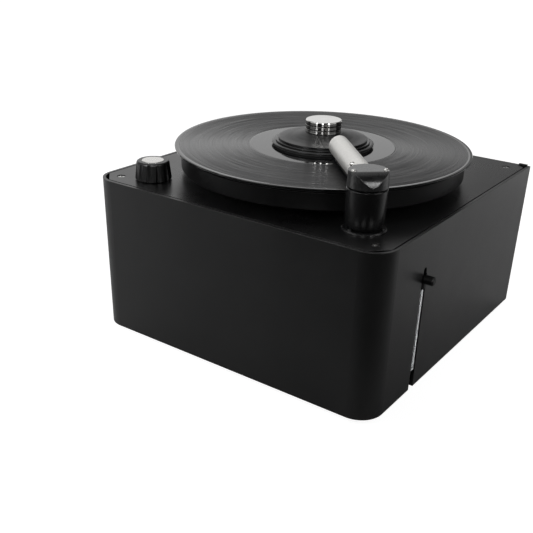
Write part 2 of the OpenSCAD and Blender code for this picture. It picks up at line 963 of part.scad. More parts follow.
// Rubber stopper on the hose's end: a socket below and a thick finger stub outwards
module hose_plug() {
    low = plug_z - 3 - plug_socket;
    neck = case_w / 2 + 0.4 - hose_x;
    tip = case_w / 2 + plug_out - hose_x;
    color("#141516")
        translate([hose_x, hose_y, plug_z])
            difference() {
                union() {
                    translate([0, 0, low - plug_z])
                        cylinder(h = plug_z - low, r = socket_r, $fn = 48);
                    sphere(socket_r, $fn = 48);
                    rotate([0, 90, 0])
                        rotate_extrude($fn = 64)
                            polygon([[0, 0], [socket_r - 0.1, 0], [socket_r - 0.1, neck],
                                     [plug_r - 0.3, neck], [plug_r, neck + 0.6],
                                     [plug_r, tip - 1.2], [plug_r - 0.9, tip - 0.2],
                                     [plug_r - 1.4, tip], [0, tip]]);
                }
                translate([0, 0, low - plug_z - 1])
                    cylinder(h = plug_socket + 1, r = hose_r + 0.05, $fn = 48);
            }
}

module post_flange() {
    color("#1e1f21")
        translate([post_x, post_y, rim_z])
            difference() {
                rotate_extrude()
                    polygon([[tube_r + 0.3, 0], [19.8, 0], [19.8, 1], [18.9, 2],
                             [tube_r + 0.3, 2]]);
                for (a = [0, 120, 240])
                    rotate(a + arm_heading)
                        translate([16.9, 0, -1])
                            cylinder(h = 4, r = m3_hole);
            }
}

module flange_screws() {
    color("#55585c")
        translate([post_x, post_y, rim_z + 2])
            for (a = [0, 120, 240])
                rotate(a + arm_heading)
                    translate([16.9, 0, 0])
                        mirror([0, 0, 1])
                            pan_screw(8.5, m3_r, 1.9, 1.3);
}

// Sleeve of the arm: straight above, drawn in like a bowl at its foot
module arm_post() {
    h = post_top - post_foot;
    foot = [for (a = [90:-15:0])
        [post_foot_r + (post_mid_r - post_foot_r) * cos(a), post_round * (1 - sin(a))]];
    color("#1e1f21")
        translate([post_x, post_y, post_foot])
            rotate_extrude()
                polygon(concat([[post_bore, 0]], foot,
                               [[post_top_r, h - 0.5], [post_top_r - 0.4, h], [post_bore, h]]));
}

module swing_collar() {
    color("#b08a4a")
        translate([post_x, post_y, post_foot + 0.1])
            difference() {
                cylinder(h = collar_top - post_foot - 0.1, r = collar_r);
                translate([0, 0, -1])
                    cylinder(h = 40, r = tube_r + slide_gap);
            }
}

module lift_tube() {
    low = rim_z - 45;
    color("#b9bcc0")
        on_arm()
            difference() {
                translate([0, 0, low])
                    cylinder(h = tube_top - low, r = tube_r);
                translate([0, 0, low - 1])
                    cylinder(h = tube_top - low + 2, r = tube_bore);
                translate([0, 0, air_way_z])
                    rotate([0, 90, 0])
                        cylinder(h = 12, r = air_way_r);
            }
}

// Rings of a coil: one hexagonal section for each step along the wire
function coil_ring(i) =
    let (turn = i * 360 / spring_steps)
    let (rise = (spring_high - spring_low - spring_wire) / (spring_turns * spring_steps))
    [for (s = [0:spring_sides - 1])
        let (a = s * 360 / spring_sides)
        let (r = spring_r + spring_wire / 2 * cos(a))
        [r * cos(turn), r * sin(turn),
         spring_low + spring_wire / 2 + i * rise + spring_wire / 2 * sin(a)]];

module lift_spring() {
    n = spring_turns * spring_steps;
    m = spring_sides;
    points = [for (i = [0:n]) each coil_ring(i)];
    sides = [for (i = [0:n - 1], s = [0:m - 1])
        let (a = i * m + s)
        let (b = i * m + (s + 1) % m)
        each [[a, b, b + m], [a, b + m, a + m]]];
    start = [for (s = [1:m - 2]) [0, s + 1, s]];
    finish = [for (s = [1:m - 2]) [n * m, n * m + s, n * m + s + 1]];
    echo(spring_gap = (spring_high - spring_low - spring_wire) / spring_turns - spring_wire);
    color("#aeb2b6")
        translate([post_x, post_y, 0])
            polyhedron(points, concat(sides, start, finish));
}

// Side profile of the arm head, grown by a gap; it tapers towards its top
module head_profile(gap) {
    h = head_top - head_z;
    polygon([[0, 0], [head_r - 0.3 + gap, 0], [head_r + gap, 0.3],
             [head_top_r + gap, h - 0.5], [head_top_r - 0.5 + gap, h], [0, h]]);
}

// Screw holes of the arm: two down into the head, one through the tube's flank
module arm_screw_holes() {
    for (p = head_screw_at)
        translate([p.x, p.y, head_top - 1.5])
            cylinder(h = 3, r = m3_r + 0.05);
    translate([tube_screw_at, 0, arm_z])
        rotate([tube_screw_turn, 0, 0])
            translate([0, 0, arm_r - 2.4])
                cylinder(h = 4, r = m3_r + 0.05);
}

// What is cut off above the rounded nose of the arm head
module nose_cut() {
    top = head_top - nose_z + 1;
    translate([-nose_out, 0, nose_z])
        difference() {
            translate([-2, -head_r - 2, 0])
                cube([nose_r + 2, 2 * head_r + 4, top]);
            translate([nose_r, 0, 0])
                rotate([90, 0, 0])
                    cylinder(h = 2 * head_r + 6, r = nose_r, center = true, $fn = 96);
        }
}

// Arm head: slightly tapered drum, rounded like an elbow on its outer side
module arm_head() {
    color("#202123")
        on_arm()
            difference() {
                union() {
                    translate([0, 0, head_z])
                        rotate_extrude()
                            head_profile(0);
                    difference() {
                        translate([0, 0, arm_z])
                            rotate([0, 90, 0])
                                cylinder(h = spigot_end, r = arm_bore - 0.05);
                        translate([0, 0, head_z - 20])
                            cylinder(h = 20, r = arm_clear);
                    }
                }
                nose_cut();
                translate([0, 0, head_z - 1])
                    cylinder(h = recess_top - head_z + 1, r = post_bore);
                translate([0, 0, head_z - 1])
                    cylinder(h = tube_top - head_z + 1, r = tube_r + 0.02);
                translate([0, 0, air_way_z])
                    rotate([0, 90, 0])
                        cylinder(h = spigot_end + 1, r = air_way_r);
                arm_screw_holes();
            }
}

// Arm tube: its near end is scribed to the head and kept clear of the post
module arm_tube() {
    color("#c3c6ca")
        on_arm()
            difference() {
                translate([0, 0, arm_z])
                    rotate([0, 90, 0])
                        cylinder(h = arm_len, r = arm_r);
                translate([-1, 0, arm_z])
                    rotate([0, 90, 0])
                        cylinder(h = arm_len + 2, r = arm_bore);
                translate([0, 0, head_z - 20])
                    cylinder(h = 20 + eps, r = arm_clear);
                translate([0, 0, head_z])
                    rotate_extrude()
                        head_profile(0.03);
                translate([spigot_end + 2, -slit_w, arm_z - arm_r - 1])
                    cube([arm_len - spigot_end - 14, 2 * slit_w, arm_r]);
                arm_screw_holes();
            }
}

module arm_end_cap() {
    color("#c3c6ca")
        on_arm()
            translate([arm_len, 0, arm_z])
                rotate([0, 90, 0])
                    rotate_extrude()
                        polygon([[0, -7], [arm_bore - 0.1, -7], [arm_bore - 0.1, 0], [arm_r, 0],
                                 [arm_r, 0.9], [arm_r - 0.9, 1.8], [0, 1.8]]);
}

// Bar under the tube that carries the suction slit
module slit_bar() {
    color("#17181a")
        on_arm()
            difference() {
                translate([bar_start, -bar_w / 2, bar_low])
                    cube([arm_len - bar_start - 1, bar_w, arm_z - arm_r - bar_low + 1]);
                translate([0, 0, arm_z])
                    rotate([0, 90, 0])
                        cylinder(h = arm_len + 5, r = arm_r + 0.02);
                translate([spigot_end, -slit_w / 2, bar_low - 1])
                    cube([arm_len - spigot_end - 6, slit_w, 10]);
            }
}

module velvet_lips() {
    lip_y = slit_w / 2 + 0.2;
    color("#0c0c0d")
        on_arm()
            for (s = [-1, 1])
                translate([spigot_end - 6, s > 0 ? lip_y : -bar_w / 2, bar_low - lip_drop])
                    cube([arm_len - spigot_end, bar_w / 2 - lip_y, lip_drop]);
}

module head_screws() {
    color("#d0d3d6")
        on_arm() {
            for (p = head_screw_at)
                translate([p.x, p.y, head_top])
                    mirror([0, 0, 1])
                        pan_screw(1.4, m3_r, m3_head_r, m3_head_h);
            translate([tube_screw_at, 0, arm_z])
                rotate([tube_screw_turn, 0, 0])
                    translate([0, 0, arm_r])
                        mirror([0, 0, 1])
                            pan_screw(2.2, m3_r, m3_head_r, tube_screw_h);
        }
}

module selector_switch() {
    color("#26272a")
        translate([selector_at.x, selector_at.y, 0])
            difference() {
                union() {
                    for (i = [0:2])
                        translate([0, 0, plate_under - 6 - i * 10])
                            cylinder(h = 6, r = 17);
                    translate([-14, -14, plate_under - 25])
                        cube([28, 28, 22]);
                    translate([0, 0, plate_under - 4])
                        cylinder(h = plate_t + 8.5, r = 4.7);
                }
                translate([0, 0, plate_under - 22])
                    cylinder(h = 60, r = selector_shaft_r + run_gap);
            }
}

module selector_nut() {
    color("#b9bcc0")
        translate([selector_at.x, selector_at.y, rim_z])
            difference() {
                cylinder(h = 2.4, r = 8, $fn = 6);
                translate([0, 0, -1])
                    cylinder(h = 5, r = 4.75);
            }
}

module selector_shaft() {
    color("#b9bcc0")
        translate([selector_at.x, selector_at.y, plate_under - 20])
            cylinder(h = plate_t + 20 + 13, r = selector_shaft_r);
}

// Knob: tapered drum with finger flutes that deepen towards its skirt
module selector_knob() {
    skirt_r = knob_d / 2;
    top_r = skirt_r - 1.7;
    color("#1a1b1c")
        translate([selector_at.x, selector_at.y, rim_z + 0.7])
            difference() {
                rotate_extrude()
                    polygon([[0, 0], [skirt_r - 0.6, 0], [skirt_r, 0.7], [skirt_r - 0.3, 4],
                             [top_r, knob_h - 2], [top_r - 0.5, knob_h - 0.8],
                             [top_r - 1.5, knob_h], [0, knob_h]]);
                for (i = [0:knob_flutes - 1])
                    rotate(i * 360 / knob_flutes)
                        translate([skirt_r + 2.6, 0, -2])
                            rotate([0, -2.5, 0])
                                cylinder(h = knob_h + 1, r = 4, $fn = 48);
                translate([0, 0, -1])
                    cylinder(h = 7.5, r = 10);
                translate([0, 0, -1])
                    cylinder(h = 14, r = selector_shaft_r + 0.02);
                translate([0, 0, knob_h - 0.9])
                    cylinder(h = 2, r = cap_r + 0.15);
            }
}

module knob_cap() {
    color("#d6d8da")
        translate([selector_at.x, selector_at.y, rim_z + 0.7 + knob_h - 0.9])
            rotate_extrude()
                polygon([[0, 0], [cap_r, 0], [cap_r, 0.9], [cap_r - 0.5, 1.25], [0, 1.4]]);
}

module inlet_body() {
    color("#161718")
        translate([inlet_at.x, case_d / 2, inlet_at.y])
            difference() {
                union() {
                    translate([-25, 0, -13.5])
                        cube([50, 3, 27]);
                    translate([-14, -26, -10])
                        cube([28, 26 + eps, 20]);
                }
                inlet_cavity();
                for (s = [-1, 1])
                    translate([s * 20, 4, 0])
                        rotate([90, 0, 0])
                            cylinder(h = 6, r = m3_hole);
            }
}

// Socket cavity with its two upper corners cut
module inlet_cavity() {
    translate([0, 4, 0])
        rotate([90, 0, 0])
            linear_extrude(21)
                polygon([[-12.2, -8.2], [12.2, -8.2], [12.2, 3.4], [7.4, 8.2], [-7.4, 8.2],
                         [-12.2, 3.4]]);
}

module inlet_pins() {
    color("#c9ccd0")
        translate([inlet_at.x, case_d / 2 - 17, inlet_at.y])
            for (p = [[-7, -3], [7, -3], [0, 3.4]])
                translate([p.x - 1, 0, p.y - 2])
                    cube([2, 15, 4]);
}

module switch_frame() {
    color("#161718")
        translate([switch_at.x, case_d / 2, switch_at.y])
            difference() {
                union() {
                    translate([-11.5, 0, -8.5])
                        cube([23, 2, 17]);
                    translate([-9.5, -18, -6.4])
                        cube([19, 18 + eps, 12.8]);
                }
                translate([-8, -12, -5])
                    cube([16, 20, 10]);
            }
}

module power_rocker() {
    color("#101112")
        translate([switch_at.x, case_d / 2 - 5, switch_at.y])
            rotate([0, 0, rocker_tilt])
                translate([0, 0, -4.6])
                    linear_extrude(9.2)
                        difference() {
                            polygon([[-rocker_half, -2], [rocker_half, -2], [rocker_half, 6],
                                     [5.6, 6.8], [0, 5.4], [-5.6, 6.8], [-rocker_half, 6]]);
                            circle(1, $fn = 48);
                        }
}

module platter_hub() {
    color("#8d9094")
        difference() {
            rotate_extrude()
                polygon([[shaft_r + 0.01, rim_z + 2], [12, rim_z + 2], [12, rim_z + 8], [32, rim_z + 8],
                         [32, rim_z + 12], [shaft_r + 0.01, rim_z + 12]]);
            for (a = [0, 120, 240])
                rotate(a)
                    translate([24, 0, rim_z + 7])
                        cylinder(h = 6, r = m4_hole);
        }
}

module hub_screws() {
    color("#b9bcc0")
        for (a = [0, 120, 240])
            rotate(a)
                translate([24, 0, rim_z + 8])
                    pan_screw(10, m4_r, m4_head_r, m4_head_h);
}

// Platter: a disc with a deep rim, open below, with ribs from hub to rim
module platter() {
    r = platter_d / 2;
    hub_z = rim_z + 12;
    web_z = mat_z - 7;
    color("#1a1b1d")
        difference() {
            union() {
                rotate_extrude($fn = 180)
                    polygon([[shaft_r + 0.1, hub_z], [36, hub_z], [36, web_z], [r - 14, web_z],
                             [r - 14, platter_z], [r - 1, platter_z], [r, platter_z + 1],
                             [r, mat_z - 0.8], [r - 0.8, mat_z], [shaft_r + 0.1, mat_z]]);
                for (a = [15:45:330])
                    rotate(a)
                        translate([35, -2, hub_z])
                            cube([r - 48, 4, web_z - hub_z + eps]);
            }
            for (a = [0, 120, 240])
                rotate(a)
                    translate([24, 0, hub_z - 1])
                        cylinder(h = 8.5, r = m4_tap);
        }
}

module platter_mat() {
    color("#2a2a2b")
        translate([0, 0, mat_z])
            difference() {
                cylinder(h = mat_t, r = platter_d / 2 - 0.6, $fn = 180);
                translate([0, 0, -1])
                    cylinder(h = mat_t + 2, r = spindle_d / 2 + 0.2);
            }
}

// Record: raised rim and label, thinner grooved band between them
module vinyl_record() {
    r = record_d / 2;
    low = record_top - record_t;
    color("#151516")
        rotate_extrude($fn = 180)
            polygon([[3.63, low], [r - 0.6, low], [r, low + 0.6], [r, record_top - 0.6],
                     [r - 0.6, record_top], [r - 2.6, record_top], [r - 4.4, record_top - 0.3],
                     [run_out_r, record_top - 0.3], [run_out_r - 1, record_top - 0.15],
                     [label_r + 1, record_top - 0.15], [label_r, record_top],
                     [3.63, record_top]]);
}

// Clamp disc: conical top, bead and wide foot over a rubber ring
module clamp_disc() {
    z = record_top;
    foot_r = clamp_d / 2;
    hub_r = clamp_knob_d / 2;
    color("#151617")
        rotate_extrude($fn = 144)
            polygon([[3.65, z + 1.2], [43, z + 1.2], [43, z + 1.8], [foot_r - 0.8, z + 1.8],
                     [foot_r, z + 2.3], [foot_r, z + 2.8], [foot_r - 0.6, z + 3.3],
                     [foot_r - 2, z + 3.6], [foot_r - 4.6, z + 3.7], [foot_r - 4.6, z + 4],
                     [foot_r - 3.8, z + 4.3], [foot_r - 3.8, z + 5], [foot_r - 4.4, z + 5.4],
                     [foot_r - 7.2, z + 5.5], [foot_r - 7.2, z + 6], [foot_r - 6.7, z + 6.3],
                     [foot_r - 6.7, z + 7.1], [foot_r - 7.3, z + 7.4], [foot_r - 14, z + 8.1],
                     [foot_r - 21, z + 9.2], [foot_r - 27, z + 10.8], [hub_r + 1.6, z + 12.6],
                     [hub_r, z + 12.9],
                     [8.5, z + 12.9], [8.5, z + 7], [3.65, z + 7]]);
}

module clamp_seal() {
    z = record_top;
    color("#0f0f10")
        difference() {
            translate([0, 0, z + 0.05])
                cylinder(h = 1.75, r = clamp_d / 2 - 1.4);
            translate([0, 0, z - 1])
                cylinder(h = 5, r = 43.2);
        }
}

// Clamp knob: three polished rings over a threaded stem
module clamp_knob() {
    r = clamp_knob_d / 2;
    z = record_top + 13.1;
    groove = 0.9;
    color("#e2e4e6")
        difference() {
            union() {
                rotate_extrude()
                    polygon([[0, z], [r - 0.5, z], [r, z + 0.5], [r, z + 3.2], [r - groove, z + 3.6],
                             [r - groove, z + 4.1], [r, z + 4.5], [r, z + 7.2],
                             [r - groove, z + 7.6], [r - groove, z + 8.1], [r, z + 8.5],
                             [r, z + 11.1], [r - 0.8, z + 12], [0, z + 12]]);
                translate([0, 0, z - 5.8])
                    cylinder(h = 6, r = 8.4);
            }
            translate([0, 0, z - 7])
                cylinder(h = 14, r = spindle_d / 2 + 0.05);
        }
}

casing_wrap();
top_plate();
bottom_plate();
rear_panel();
corner_posts();
top_screws();
rubber_feet();
foot_screws();
pan_screws();
exhaust_grille();
bearing_housing();
bearing_bushes();
motor_bracket();
gearbox_housing();
motor_can();
motor_capacitor();
fluid_tank();
tank_lid();
suction_pipe();
air_hose();
fan_housing();
vacuum_motor();
drain_nozzle();
post_flange();
flange_screws();
arm_post();
selector_switch();
selector_nut();
inlet_body();
inlet_pins();
switch_frame();
main_shaft();
platter();
platter_mat();
vinyl_record();
platter_hub();
hub_screws();
drive_gear();
motor_pinion();
output_shaft();
clamp_disc();
clamp_seal();
clamp_knob();
impeller();
swing_collar();
lift_tube();
lift_spring();
arm_head();
arm_tube();
arm_end_cap();
slit_bar();
velvet_lips();
head_screws();
selector_shaft();
selector_knob();
knob_cap();
power_rocker();
drain_hose();
hose_plug();
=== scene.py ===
"""The looks of the record cleaning machine: materials, three finer pieces, studio and camera."""
import math

import bmesh
import bpy
from mathutils import Matrix, Vector, noise as perlin


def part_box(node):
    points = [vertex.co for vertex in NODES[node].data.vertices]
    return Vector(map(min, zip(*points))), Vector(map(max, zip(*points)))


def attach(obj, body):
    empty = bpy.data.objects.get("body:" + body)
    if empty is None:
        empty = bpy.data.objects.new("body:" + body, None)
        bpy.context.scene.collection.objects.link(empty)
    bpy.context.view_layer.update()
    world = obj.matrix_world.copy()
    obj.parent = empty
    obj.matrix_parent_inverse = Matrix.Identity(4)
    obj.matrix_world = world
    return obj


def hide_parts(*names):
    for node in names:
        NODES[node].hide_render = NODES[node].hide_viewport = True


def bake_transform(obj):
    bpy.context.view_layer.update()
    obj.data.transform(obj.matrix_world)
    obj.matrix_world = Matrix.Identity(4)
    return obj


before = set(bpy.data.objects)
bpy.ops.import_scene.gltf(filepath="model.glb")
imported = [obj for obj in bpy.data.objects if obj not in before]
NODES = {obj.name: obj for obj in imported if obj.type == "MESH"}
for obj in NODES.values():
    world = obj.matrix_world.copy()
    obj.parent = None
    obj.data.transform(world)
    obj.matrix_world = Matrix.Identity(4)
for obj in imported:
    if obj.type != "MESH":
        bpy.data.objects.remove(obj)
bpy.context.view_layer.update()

# ---------------------------------------------------------------- material kit


def shader(name):
    mat = bpy.data.materials.new(name)
    mat.use_nodes = True
    tree = mat.node_tree
    tree.nodes.clear()
    out = tree.nodes.new("ShaderNodeOutputMaterial")
    bsdf = tree.nodes.new("ShaderNodeBsdfPrincipled")
    tree.links.new(bsdf.outputs["BSDF"], out.inputs["Surface"])
    return mat, tree, bsdf


def add(tree, kind, **values):
    node = tree.nodes.new(kind)
    for key, value in values.items():
        setattr(node, key, value)
    return node


def coords(tree):
    return add(tree, "ShaderNodeTexCoord").outputs["Object"]


def noise(tree, vector, scale, detail, rough):
    n = add(tree, "ShaderNodeTexNoise")
    n.inputs["Scale"].default_value = scale
    n.inputs["Detail"].default_value = detail
    n.inputs["Roughness"].default_value = rough
    tree.links.new(vector, n.inputs["Vector"])
    return n.outputs["Fac"]


def remap(tree, value, low, high, to_low, to_high):
    n = add(tree, "ShaderNodeMapRange")
    tree.links.new(value, n.inputs["Value"])
    n.inputs["From Min"].default_value = low
    n.inputs["From Max"].default_value = high
    n.inputs["To Min"].default_value = to_low
    n.inputs["To Max"].default_value = to_high
    return n.outputs["Result"]


def math_node(tree, operation, a, b=None):
    n = add(tree, "ShaderNodeMath", operation=operation)
    for i, v in enumerate((a, b)):
        if v is None:
            continue
        if isinstance(v, (int, float)):
            n.inputs[i].default_value = v
        else:
            tree.links.new(v, n.inputs[i])
    return n.outputs["Value"]


def mix_color(tree, fac, a, b):
    n = add(tree, "ShaderNodeMix", data_type="RGBA")
    tree.links.new(fac, n.inputs["Factor"])
    for key, v in (("A", a), ("B", b)):
        socket = [s for s in n.inputs if s.name == key and s.type == "RGBA"][0]
        if isinstance(v, tuple):
            socket.default_value = (*v, 1)
        else:
            tree.links.new(v, socket)
    return [s for s in n.outputs if s.type == "RGBA"][0]


def bump(tree, height, distance, strength, normal=None):
    n = add(tree, "ShaderNodeBump")
    n.inputs["Strength"].default_value = strength
    n.inputs["Distance"].default_value = distance
    tree.links.new(height, n.inputs["Height"])
    if normal is not None:
        tree.links.new(normal, n.inputs["Normal"])
    return n.outputs["Normal"]


def soft_edges(tree, radius):
    n = add(tree, "ShaderNodeBevel", samples=6)
    n.inputs["Radius"].default_value = radius
    return n.outputs["Normal"]


def split(tree, vector):
    """The x, y and z of a vector."""
    n = add(tree, "ShaderNodeSeparateXYZ")
    tree.links.new(vector, n.inputs["Vector"])
    return n.outputs["X"], n.outputs["Y"], n.outputs["Z"]


def distance_from_axis(tree, x, y):
    return math_node(tree, "SQRT", math_node(
        tree, "ADD", math_node(tree, "MULTIPLY", x, x), math_node(tree, "MULTIPLY", y, y)))


def between(tree, value, low, high):
    """1 where low < value < high, otherwise 0."""
    above = math_node(tree, "GREATER_THAN", value, low)
    below = math_node(tree, "LESS_THAN", value, high)
    return math_node(tree, "MULTIPLY", above, below)


def coated(name, dark, light, rough, grain, depth, cloud, spec, metal=0.0, edge=0.0004,
           sheen=0.0, duller=None):
    """Paint, plastic, rubber or cast metal: cloudy colour, fine grain and soft edges.
    duller is (height, height, factor): the roughness grows by the factor between the heights."""
    mat, tree, bsdf = shader(name)
    vec = coords(tree)
    clouds = noise(tree, vec, cloud, 4.0, 0.6)
    fine = noise(tree, vec, grain, 2.0, 0.5)
    tree.links.new(mix_color(tree, remap(tree, clouds, 0.3, 0.7, 0, 1), dark, light),
                   bsdf.inputs["Base Color"])
    both = math_node(tree, "ADD", math_node(tree, "MULTIPLY", clouds, 0.6),
                     math_node(tree, "MULTIPLY", fine, 0.4))
    polish = remap(tree, both, 0.35, 0.65, *rough)
    if duller:
        low, high, factor = duller
        growth = remap(tree, split(tree, vec)[2], low, high, 1.0, factor)
        polish = math_node(tree, "MULTIPLY", polish, growth)
    tree.links.new(polish, bsdf.inputs["Roughness"])
    normal = soft_edges(tree, edge) if edge else None
    tree.links.new(bump(tree, fine, depth, 1.0, normal), bsdf.inputs["Normal"])
    bsdf.inputs["Specular IOR Level"].default_value = spec
    bsdf.inputs["Metallic"].default_value = metal
    bsdf.inputs["Sheen Weight"].default_value = sheen
    bsdf.inputs["Sheen Roughness"].default_value = 0.4
    return mat


def turned(name, color, rough, lines=2500, depth=0.000004, spread=0.06, centre=(0, 0, 0),
           edge=0.0002, grooves=()):
    """Turned metal: fine rings round the z axis through centre, with painted shade, near black,
    in the grooves.
    """
    mat, tree, bsdf = shader(name)
    vec = coords(tree)
    shift = add(tree, "ShaderNodeVectorMath", operation="SUBTRACT")
    tree.links.new(vec, shift.inputs[0])
    shift.inputs[1].default_value = centre
    x, y, z = split(tree, shift.outputs["Vector"])
    ring = add(tree, "ShaderNodeCombineXYZ")
    tree.links.new(distance_from_axis(tree, x, y), ring.inputs["X"])
    tree.links.new(z, ring.inputs["Z"])
    lined = noise(tree, ring.outputs["Vector"], lines, 2.0, 0.7)
    clouds = noise(tree, vec, 60, 3.0, 0.6)
    dark = tuple(c * 0.9 for c in color)
    shade = mix_color(tree, remap(tree, clouds, 0.3, 0.7, 0, 1), dark, color)
    polish = remap(tree, lined, 0.3, 0.7, rough, rough + spread)
    # painted shade: the colour in each groove is near black, where shade falls in the recess
    for low, high in grooves:
        painted_groove_shade = between(tree, z, low, high)
        shade = mix_color(tree, painted_groove_shade, shade, (0.012, 0.012, 0.012))
        polish = math_node(tree, "MAXIMUM", polish, math_node(tree, "MULTIPLY", painted_groove_shade, 0.4))
    tree.links.new(shade, bsdf.inputs["Base Color"])
    tree.links.new(polish, bsdf.inputs["Roughness"])
    normal = soft_edges(tree, edge) if edge else None
    tree.links.new(bump(tree, lined, depth, 0.6, normal), bsdf.inputs["Normal"])
    bsdf.inputs["Metallic"].default_value = 1.0
    return mat


# ------------------------------------------------------------------- materials

KNOB_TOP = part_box("clamp_knob")[1][2]
KNOB_BASE = KNOB_TOP - 0.012
KNOB_CUTS = (KNOB_BASE + 0.0033, KNOB_BASE + 0.0073)    # where the two cut grooves start
SELECTOR_AXIS = (-0.1145, -0.1305, 0)
CLAMP_CONE = (0.2005, 0.2025)               # the heights where the bead gives way to the cone
GROOVED_FROM, GROOVED_TO = 0.0749, 0.1464   # radii of the record's grooved band

MAT = {
    "powder": coated("powder_black", (0.011, 0.011, 0.0115), (0.0155, 0.0155, 0.016),
                     (0.30, 0.40), 1500, 0.00003, 9, 0.44, edge=0.0006),
    # painted shade: the top plate's black is darker than the casing's, to match the shade under
    # the platter
    "plate": coated("plate_black", (0.0045, 0.0045, 0.0048), (0.0070, 0.0070, 0.0073),
                    (0.26, 0.33), 1700, 0.00002, 12, 0.34, edge=0.0005),
    "rubber": coated("black_rubber", (0.012, 0.012, 0.012), (0.02, 0.02, 0.02),
                     (0.55, 0.7), 900, 0.00004, 60, 0.35),
    "plug": coated("stopper_rubber", (0.004, 0.004, 0.0045), (0.009, 0.009, 0.009),
                   (0.40, 0.52), 900, 0.00003, 90, 0.25),
    "plastic": coated("black_plastic", (0.012, 0.012, 0.013), (0.018, 0.018, 0.019),
                      (0.38, 0.5), 1200, 0.00003, 40, 0.45),
    "satin": coated("satin_black_plastic", (0.008, 0.008, 0.0085), (0.013, 0.013, 0.0135),
                    (0.30, 0.38), 700, 0.000012, 50, 0.40),
    "clamp": coated("clamp_black", (0.005, 0.005, 0.0053), (0.008, 0.008, 0.0084),
                    (0.26, 0.32), 1200, 0.00001, 50, 0.42, edge=0.0002,
                    duller=(*CLAMP_CONE, 1.6)),
    "post": coated("post_black", (0.008, 0.008, 0.0085), (0.012, 0.012, 0.0125),
                   (0.20, 0.27), 1600, 0.00001, 40, 0.5, edge=0.00015),
    "head": coated("head_black", (0.009, 0.009, 0.0095), (0.014, 0.014, 0.0145),
                   (0.23, 0.30), 2200, 0.000015, 60, 0.85, edge=0.0003),
    "platter": coated("platter_black", (0.004, 0.004, 0.0043), (0.007, 0.007, 0.0073),
                      (0.36, 0.46), 1400, 0.00002, 30, 0.15, edge=0.0006),
    "mat": coated("mat_rubber", (0.014, 0.014, 0.014), (0.022, 0.022, 0.022),
                  (0.6, 0.75), 1100, 0.00005, 70, 0.3),
    "velvet": coated("black_velvet", (0.004, 0.004, 0.004), (0.012, 0.012, 0.012),
                     (0.85, 0.95), 3500, 0.00015, 200, 0.15, edge=0, sheen=0.35),
    "blasted": coated("blasted_alloy", (0.72, 0.71, 0.685), (0.82, 0.81, 0.785),
                      (0.40, 0.52), 2600, 0.00006, 300, 0.5, metal=0.90, edge=0.0003),
    "cap": turned("spun_alloy", (0.66, 0.65, 0.63), 0.24, lines=1500,
                  centre=SELECTOR_AXIS),
    # the knob's two cut grooves get painted shade, near black
    "chrome": turned("chrome", (0.66, 0.655, 0.64), 0.05, lines=2200, depth=0.0000015,
                     spread=0.04, edge=0,
                     grooves=[(cut + 0.0001, cut + 0.0010) for cut in KNOB_CUTS]),
    "zinc": turned("zinc_steel", (0.58, 0.585, 0.60), 0.3),
    "steel": turned("ground_steel", (0.62, 0.62, 0.63), 0.2),
    "screw": turned("bright_screw", (0.70, 0.69, 0.67), 0.18),
    "cast": coated("cast_alloy", (0.42, 0.43, 0.44), (0.52, 0.53, 0.54), (0.42, 0.55), 900,
                   0.00006, 60, 0.5, metal=1.0),
    "bronze": coated("sintered_bronze", (0.40, 0.26, 0.11), (0.52, 0.36, 0.17), (0.35, 0.5),
                     2500, 0.00004, 120, 0.5, metal=1.0),
    "brass": turned("machined_brass", (0.70, 0.52, 0.24), 0.22),
    "motor": coated("motor_grey", (0.20, 0.205, 0.21), (0.26, 0.265, 0.27), (0.4, 0.5), 900,
                    0.00004, 40, 0.5),
    "nylon": coated("natural_nylon", (0.66, 0.63, 0.54), (0.74, 0.71, 0.62), (0.4, 0.5), 900,
                    0.00003, 40, 0.5),
    "dark_screw": coated("dark_nickel", (0.42, 0.42, 0.41), (0.52, 0.52, 0.51),
                         (0.22, 0.30), 2000, 0.00001, 200, 0.5, metal=1.0, edge=0.0003),
    "black_screw": coated("black_oxide", (0.012, 0.012, 0.012), (0.02, 0.02, 0.02),
                          (0.32, 0.42), 2000, 0.00001, 200, 0.5, metal=0.3, edge=0.0002),
}


